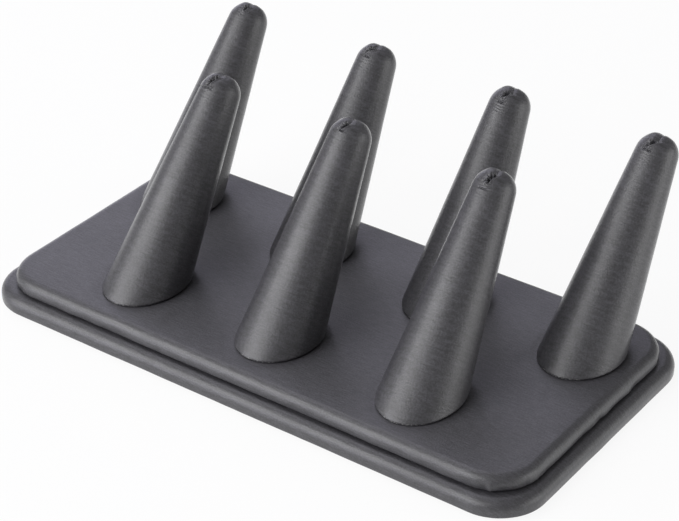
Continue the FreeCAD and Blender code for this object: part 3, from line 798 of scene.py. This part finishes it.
# %% [markdown]
# ## Under the lip
# Below the tuck the skin is pushed together. It bulges, has small wrinkles round the lip's lower
# end, and one sharp crease across the finger, whose upper edge is swollen. One sleeve was drawn so
# tight that bands run round it under the crease.

# %% The bulge, the wrinkles and the crease
BULGE_HEIGHT = 0.24
WRINKLE_HEIGHT, WRINKLE_SPACING = 0.10, 0.9
CREASE_DEPTH, CREASE_WIDTH, CREASE_WANDER, CREASE_TILT = 0.75, 0.19, 0.16, 0.05
SWELL_HEIGHT, SWELL_PLACE, SWELL_WIDTH = 0.16, 0.45, 0.26
BAND_SPACING, BAND_BOW = 0.95, 0.06


def crease_height(tuck, side, polar, along, across):
    """The bulge under the lip, its wrinkles, the crease across the finger and the bands."""
    rise = BULGE_HEIGHT * hill(along, -1.0, 0.6) * hill(across, -0.2, 1.2)
    ring = math.hypot(along, across)
    if along < 0.3:
        wrinkle = math.cos(2 * math.pi * ring / WRINKLE_SPACING) * hill(ring, 1.4, 1.0)
        rise += WRINKLE_HEIGHT * wrinkle * (0.6 + tuck.uneven(across, along))
    angle, start, end = tuck.crease
    wander = CREASE_WANDER * tuck.uneven(side / 1.3, 9)
    above = DOME_RADIUS * math.radians(angle - polar) + wander + CREASE_TILT * (side - start)
    run = smooth_step(side, start - 0.4, start + 0.5) * smooth_step(side, end + 0.4, end - 0.5)
    rise -= CREASE_DEPTH * run * hill(above, 0, CREASE_WIDTH)
    rise += SWELL_HEIGHT * run * hill(above, SWELL_PLACE, SWELL_WIDTH)
    bands = hill(side, -1.0, 2.4) * hill(above, -2.0, 2.4)
    bowed = above - BAND_BOW * side * side
    return rise + tuck.band * bands * math.sin(2 * math.pi * bowed / BAND_SPACING)


# %% [markdown]
# ## Over the top
# The lip's line runs on over the tip as a broad fold and dies out behind it. The lobe on its left
# stands up, and the one on its right is pressed in a little, so that they are never level.

# %% The fold over the tip
FOLD_LEFT, FOLD_RIGHT = 2.3, 1.6    # mm, how far the fold reaches to either side
FOLD_END = -74.0                    # degrees from the tip, where it dies out behind
LEFT_LOBE, RIGHT_LOBE = 0.22, -0.20
TUFT_HEIGHT = 0.08                  # mm, of the rough skin at the fold's bottom


def fold_height(tuck, point, polar):
    """The broad fold over the tip, its two lobes, and the rough skin at its bottom."""
    if polar >= 0:
        share = smooth_step(polar, 0, tuck.high[1])
        line = tuck.top_side + (tuck.high[0] - tuck.top_side) * share
    else:
        line = tuck.top_side * (1 - polar / FOLD_END)
    across = point.x - line
    width = FOLD_LEFT if across < 0 else FOLD_RIGHT
    ends = smooth_step(polar, tuck.high[1] + 12, tuck.high[1] - 14)
    ends *= smooth_step(polar, FOLD_END, FOLD_END + 40)
    valley = max(0.0, 1 - abs(across) / width) ** 1.5
    lobes = LEFT_LOBE * hill(across, -3.4, 1.5) + RIGHT_LOBE * hill(across, 1.9, 1.4)
    tuft = noise.noise(point * 1.7 + tuck.seed)
    return ends * (-tuck.fold_depth * valley + lobes + TUFT_HEIGHT * tuft * hill(across, 0, 0.9))


# %% The height of the skin
FRONT_ONLY = 2.0                    # mm behind the middle, where the lip's own folds have ended


def skin_height(tuck, point):
    """How far the skin stands out at a point of the plain sleeve. Negative is sunk."""
    polar = math.degrees(math.atan2(-point.y, point.z - DOME_CENTRE))
    if point.z < DOME_CENTRE and point.y < 0:
        polar = 90 + math.degrees((DOME_CENTRE - point.z) / DOME_RADIUS)
    rise = 0.0
    if point.y < FRONT_ONLY:
        along, across = tuck.on_map(point.x, polar)
        rise += dive_height(tuck, along, across) + pleat_height(tuck, along, across)
        rise += crease_height(tuck, point.x, polar, along, across)
    rise += fold_height(tuck, point, polar)
    room = room_over_core(point)
    return rise if rise > 0 else -room * math.tanh(-rise / room)


# %% [markdown]
# ## From plain sleeve to finished one
# The outer skin gets the heights of its folds and a faint unevenness. Down the hidden back runs the
# butt seam, where the tapered tube was closed. Inside, the skin is pushed into the saw cut as a
# narrow fin, so the wall stays a wall where the slit is deepest.

# %% Shape the outer skin
SKIN_WAVE, SKIN_WAVE_SIZE = 0.03, 4.0       # mm, the faint unevenness: short swells
CORE_WAVE, CORE_WAVE_SIZE = 0.06, 16.0      # mm, and long ones
SEAM_DEPTH, SEAM_HALF_WIDTH, SEAM_EDGE = 0.28, 0.45, 0.06
RAGGED = 0.10                       # mm, how far the trimmed foot strays


def skin_direction(point):
    """Straight out of the plain sleeve at a point."""
    if point.z > FINGER_LENGTH:
        return (point - Vector((0, 0, DOME_CENTRE))).normalized()
    level = Vector((point.x, point.y, 0)).normalized()
    return (level + Vector((0, 0, SLOPE))).normalized()


def shape_outer(vert, lean, tuck, grain, fray_and_painted_highlight):
    """Slides, folds and roughens one point of the outer skin."""
    up = slide_to_platform(vert, lean)
    plain = vert.co.copy()
    vert[grain] = plain
    out = skin_direction(plain)
    rise = SKIN_WAVE * noise.noise(plain / SKIN_WAVE_SIZE + tuck.seed)
    rise += CORE_WAVE * noise.noise(plain / CORE_WAVE_SIZE + tuck.seed)
    if plain.z > FINGER_LENGTH - NECK:
        rise += skin_height(tuck, plain)
    if plain.y > 0:
        seam = smooth_step(plain.z, FINGER_LENGTH + 2, FINGER_LENGTH - 6)
        rise -= SEAM_DEPTH * seam * max(0.0, 1 - abs(plain.x) / SEAM_HALF_WIDTH)
        rise += SEAM_EDGE * seam * hill(abs(plain.x), SEAM_HALF_WIDTH + 0.4, 0.4)
    if up < 0.3:
        rise += RAGGED * (noise.noise(plain * 1.4 + tuck.seed) + noise.noise(plain * 3.7))
        # Only the front-left side of the foot, which faces the main lamp, is marked for pale
        # backing specks: partly frayed cloth, partly a painted highlight.
        vert[fray_and_painted_highlight] = smooth_step(-plain.y - 0.4 * plain.x, 7.0, 12.0)
    vert.co = plain + out * rise


# %% Make the seven sleeves
TUCK_DEPTH = 5.0                    # mm, how deep the fin goes into the cut


def push_into_cut(vert):
    """Pushes the inner skin down into the saw cut across the core's tip."""
    depth = smooth_step(abs(vert.co.x), TUCK_HALF_WIDTH + 0.15, TUCK_HALF_WIDTH - 0.1)
    reach = smooth_step(vert.co.z, FINGER_LENGTH - 1.0, CORE_TOP)
    vert.co.z -= TUCK_DEPTH * depth * reach


def is_outer(point):
    """Whether a point of the plain sleeve is on its outer skin."""
    if point.z > FINGER_LENGTH:
        return (point - Vector((0, 0, DOME_CENTRE))).length > DOME_RADIUS - 0.05
    return math.hypot(point.x, point.y) > cone_radius(point.z) - SLEEVE + 0.05


def make_sleeve(name):
    outer, inner = sleeve_profile()
    bm = spin_profile(outer + inner)
    grain = bm.verts.layers.float_vector.new("grain")
    fray_and_painted_highlight = bm.verts.layers.float.new("fray_and_painted_highlight")
    lean = LEAN + STANCE[name][4]
    tuck = Tuck(name)
    for vert in bm.verts:
        if is_outer(vert.co):
            shape_outer(vert, lean, tuck, grain, fray_and_painted_highlight)
        else:
            slide_to_platform(vert, lean)
            push_into_cut(vert)
            vert[grain] = vert.co
    bmesh.ops.transform(bm, matrix=finger_frame(name), verts=bm.verts)
    node = "finger_cover_" + name
    return add_piece(node + "_sleeve", bm, leatherette, node)


sleeves = {name: make_sleeve(name) for name in FINGERS}

# %% [markdown]
# ## Do the sleeves sit where the construction says?
# The sizes above were repeated here, so the box of each sleeve is compared with that of its
# node. They should differ by no more than the folds and the ragged foot stand out.

# %% Compare the sleeves with the frame
for name, sleeve in sleeves.items():
    low, high = box_mm("finger_cover_" + name)
    corners = [Vector(corner) / MM for corner in sleeve.bound_box]
    strays = [
        abs(end(corner[axis] for corner in corners) - solid[axis])
        for end, solid in ((min, low), (max, high)) for axis in range(3)
    ]
    print(name, "differs by", round(max(strays), 2), "mm")

# %% [markdown]
# ## Felt, boards, cores and screws
# None of these shows from above, but a part that is turned over or taken apart should be finished
# all through. The felt is a pressed mat of fibres, the boards are fibreboard, the cores are turned
# wood with its flecks along the axis, and the screws are zinc-plated.

# %% Materials of the hidden pieces
def object_point(material, scale, turn=(0.0, 0.0, 0.0)):
    """Object coordinates, which are metres, scaled to a pattern."""
    place = add_node(material, "TexCoord").outputs["Object"]
    mapping = add_node(
        material, "Mapping", links=[(place, "Vector")], Rotation=turn, Scale=scale
    )
    return mapping.outputs[0]


def fibre_material(name, dark, light, size, roughness, stretch=1.0):
    """A mat of short fibres: felt, fibreboard, foam or paper, by its fibre size in mm."""
    material = new_material(name)
    scale = 1 / (size * MM)
    point = object_point(material, (scale, scale / stretch, scale))
    fibres = add_node(
        material, "TexNoise", links=[(point, "Vector")], Scale=1.0, Detail=5.0, Roughness=0.7
    )
    tone = add_node(
        material, "ValToRGB", links=[(fibres.outputs["Fac"], "Fac")],
        stops=[(0.35, dark), (0.65, light)],
    )
    relief = add_node(
        material, "Bump", links=[(fibres.outputs["Fac"], "Height")], Strength=0.5,
        Distance=size * MM * 0.3,
    )
    surface = add_node(
        material, "BsdfPrincipled",
        links=[(tone.outputs[0], "Base Color"), (relief.outputs[0], "Normal")],
        Roughness=roughness,
    )
    return finish_material(material, surface)


def turned_wood_material():
    """Beech turned along the grain: long pale flecks with a faint relief."""
    material = new_material("beech_turned")
    along = object_point(
        material, (1 / (1.6 * MM), 1 / (1.6 * MM), 1 / (28 * MM)),
        turn=(math.radians(LEAN), 0.0, 0.0),
    )
    rings = add_node(
        material, "TexNoise", links=[(along, "Vector")], Scale=1.0, Detail=4.0, Distortion=0.4
    )
    tone = add_node(
        material, "ValToRGB", links=[(rings.outputs["Fac"], "Fac")],
        stops=[(0.3, colour("#b98d62")), (0.7, colour("#d8b184"))],
    )
    relief = add_node(
        material, "Bump", links=[(rings.outputs["Fac"], "Height")], Strength=0.3, Distance=0.0002
    )
    surface = add_node(
        material, "BsdfPrincipled",
        links=[(tone.outputs[0], "Base Color"), (relief.outputs[0], "Normal")],
        Roughness=0.62,
    )
    return finish_material(material, surface)


def zinc_material():
    """Zinc plating: bright metal with cloudy patches."""
    material = new_material("steel_zinc_plated")
    point = object_point(material, (1 / (1.2 * MM),) * 3)
    clouds = add_node(material, "TexNoise", links=[(point, "Vector")], Scale=1.0, Detail=3.0)
    tone = add_node(
        material, "ValToRGB", links=[(clouds.outputs["Fac"], "Fac")],
        stops=[(0.3, colour("#a9aaa6")), (0.7, colour("#c9c8bd"))],
    )
    rough = add_node(
        material, "MapRange", links=[(clouds.outputs["Fac"], "Value")],
        **{"To Min": 0.25, "To Max": 0.45},
    )
    surface = add_node(
        material, "BsdfPrincipled",
        links=[(tone.outputs[0], "Base Color"), (rough.outputs[0], "Roughness")],
        Metallic=1.0,
    )
    return finish_material(material, surface)


felt = fibre_material("felt_needled", colour("#141415"), colour("#2a2a2b"), 0.5, 0.95, stretch=3.0)
fibreboard = fibre_material("fibreboard_raw", colour("#8d6d4b"), colour("#b08f69"), 0.35, 0.85)
foam = fibre_material("foam_cut", colour("#4b4b4d"), colour("#727275"), 0.8, 0.95)
adhesive = fibre_material("adhesive_sheet", colour("#cfccc2"), colour("#e4e1d8"), 2.0, 0.5)
turned_wood = turned_wood_material()
zinc = zinc_material()


# %% Paint the construction nodes that stay
def paint(node, material):
    """Gives a construction node its finish, in every material slot that it has."""
    mesh_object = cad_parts[node]
    if not mesh_object.material_slots:
        mesh_object.data.materials.append(material)
    for place in mesh_object.material_slots:
        place.material = material


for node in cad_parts:
    if node.endswith("board"):
        paint(node, fibreboard)
    elif node.startswith("finger_core"):
        paint(node, turned_wood)
paint("tier_adhesive", adhesive)
paint("finger_screws", zinc)
paint("upper_pad", foam)

# %% [markdown]
# ## The felt under the base
# The sheet is die-cut, so its edge is a little rounded by the cutter, and it is glued to the hem.
# It starts as the same block as the tiers, and then both of its rims are rounded.

# %% Make the felt
FELT_CORNER, FELT_CORNER_STEPS = 14.2, 16
FELT_EDGE, FELT_EDGE_STEPS = 0.15, 3


def make_felt():
    low, high = box_mm("bottom_felt")
    bm = rounded_block(low, high, FELT_CORNER, FELT_CORNER_STEPS)
    rims = [edge for edge in bm.edges if abs(edge.verts[0].co.z - edge.verts[1].co.z) < 1e-6]
    round_edges(bm, rims, FELT_EDGE, FELT_EDGE_STEPS)
    add_piece("bottom_felt_sheet", bm, felt, "bottom_felt")


make_felt()

# %% [markdown]
# ## Floor and world
# The stand is photographed on white, in front of white. A large floor and a white world give that,
# and the floor keeps the soft shadow under the base. The floor glows only for the camera and in
# mirror images, so it looks white without throwing extra light on the stand.

# %% The floor
GLOW_SHARE = 0.90                   # the rest is lit paper, which shows the shadow
FLOOR_RADIUS, FLOOR_GAP = 4.0, 0.02 * MM    # the gap keeps floor and felt from coinciding


def floor_material():
    """White studio paper. Seen straight or as a reflection it is nearly pure white."""
    material = new_material("studio_paper_white")
    seen = add_node(material, "LightPath")
    mirror = add_node(
        material, "Math",
        links=[(seen.outputs["Is Camera Ray"], 0), (seen.outputs["Is Glossy Ray"], 1)],
        operation="MAXIMUM",
    )
    share = add_node(material, "Math", links=[(mirror.outputs[0], 0)], operation="MULTIPLY")
    share.inputs[1].default_value = GLOW_SHARE
    paper = add_node(material, "BsdfDiffuse", Color=colour("#f4f4f4"))
    glow = add_node(material, "Emission", Color=colour("#ffffff"), Strength=1.0)
    mixed = add_node(
        material, "MixShader",
        links=[(share.outputs[0], "Fac"), (paper.outputs[0], 1), (glow.outputs[0], 2)],
    )
    return finish_material(material, mixed)


bm = bmesh.new()
bmesh.ops.create_circle(bm, cap_ends=True, segments=96, radius=FLOOR_RADIUS)
bmesh.ops.translate(bm, vec=(0, 0, -FLOOR_GAP), verts=bm.verts)
floor_mesh = bpy.data.meshes.new("floor")
bm.to_mesh(floor_mesh)
bm.free()
floor_mesh.materials.append(floor_material())
floor = bpy.data.objects.new("floor", floor_mesh)
bpy.context.scene.collection.objects.link(floor)

# %% The world
WORLD_LEVEL = 0.25                  # what it lights with; where it is seen it is pure white


def light_world(level):
    world = bpy.data.worlds.new("white_studio")
    bpy.context.scene.world = world
    world.use_nodes = True
    world.node_tree.nodes.clear()
    path = add_node(world, "LightPath")
    seen = add_node(
        world, "Math",
        links=[(path.outputs["Is Camera Ray"], 0), (path.outputs["Is Transmission Ray"], 1)],
        operation="MAXIMUM",
    )
    soft = add_node(world, "Background", Color=colour("#ffffff"), Strength=level)
    white = add_node(world, "Background", Color=colour("#ffffff"), Strength=1.0)
    mixed = add_node(
        world, "MixShader",
        links=[(seen.outputs[0], "Fac"), (soft.outputs[0], 1), (white.outputs[0], 2)],
    )
    add_node(world, "OutputWorld", links=[(mixed.outputs[0], "Surface")])


light_world(WORLD_LEVEL)

# %% [markdown]
# ## The lamps
# Satin black shows little but reflections, so the lamps are wide: the mirror image of the main one,
# at the front left, makes the long soft band on each finger. A low one beside it lights the sides
# of the base, three faint ones behind give the platform its tone, and one at the right draws the
# second, narrower band. Their strengths were matched to the tones of the photo.

# %% The lamps
LAMP_DISTANCE = 1.5                 # metres from the stand


def add_softbox(name, azimuth, elevation, size, brightness, tint="#ffffff"):
    """A soft box that looks at the stand from a direction given as the camera's is."""
    lamp_data = bpy.data.lights.new(name, "AREA")
    lamp_data.shape = "RECTANGLE"
    lamp_data.size, lamp_data.size_y = size
    lamp_data.energy = math.pi * size[0] * size[1] * brightness
    lamp_data.color = colour(tint)[:3]
    lamp = bpy.data.objects.new(name, lamp_data)
    a, e = math.radians(azimuth), math.radians(elevation)
    away = Vector((math.sin(a) * math.cos(e), -math.cos(a) * math.cos(e), math.sin(e)))
    lamp.location = away * LAMP_DISTANCE
    lamp.rotation_euler = away.to_track_quat("Z", "Y").to_euler()
    bpy.context.scene.collection.objects.link(lamp)


add_softbox("softbox_front_left", -31, 36, (1.60, 0.75), 4.7)
add_softbox("softbox_front_low", -35, 9, (0.90, 0.60), 4.6, "#f4f3ff")
add_softbox("softbox_back_high", -120, 63, (0.75, 0.75), 2.3, "#f6f4ff")
add_softbox("softbox_back", -145, 34, (0.95, 0.75), 1.05, "#eae7ff")
add_softbox("softbox_back_low", -120, 10, (0.75, 0.75), 1.0, "#eae7ff")
add_softbox("softbox_right_low", 110, 12, (1.10, 0.75), 2.9)
print("lamps:", len(bpy.data.lights))
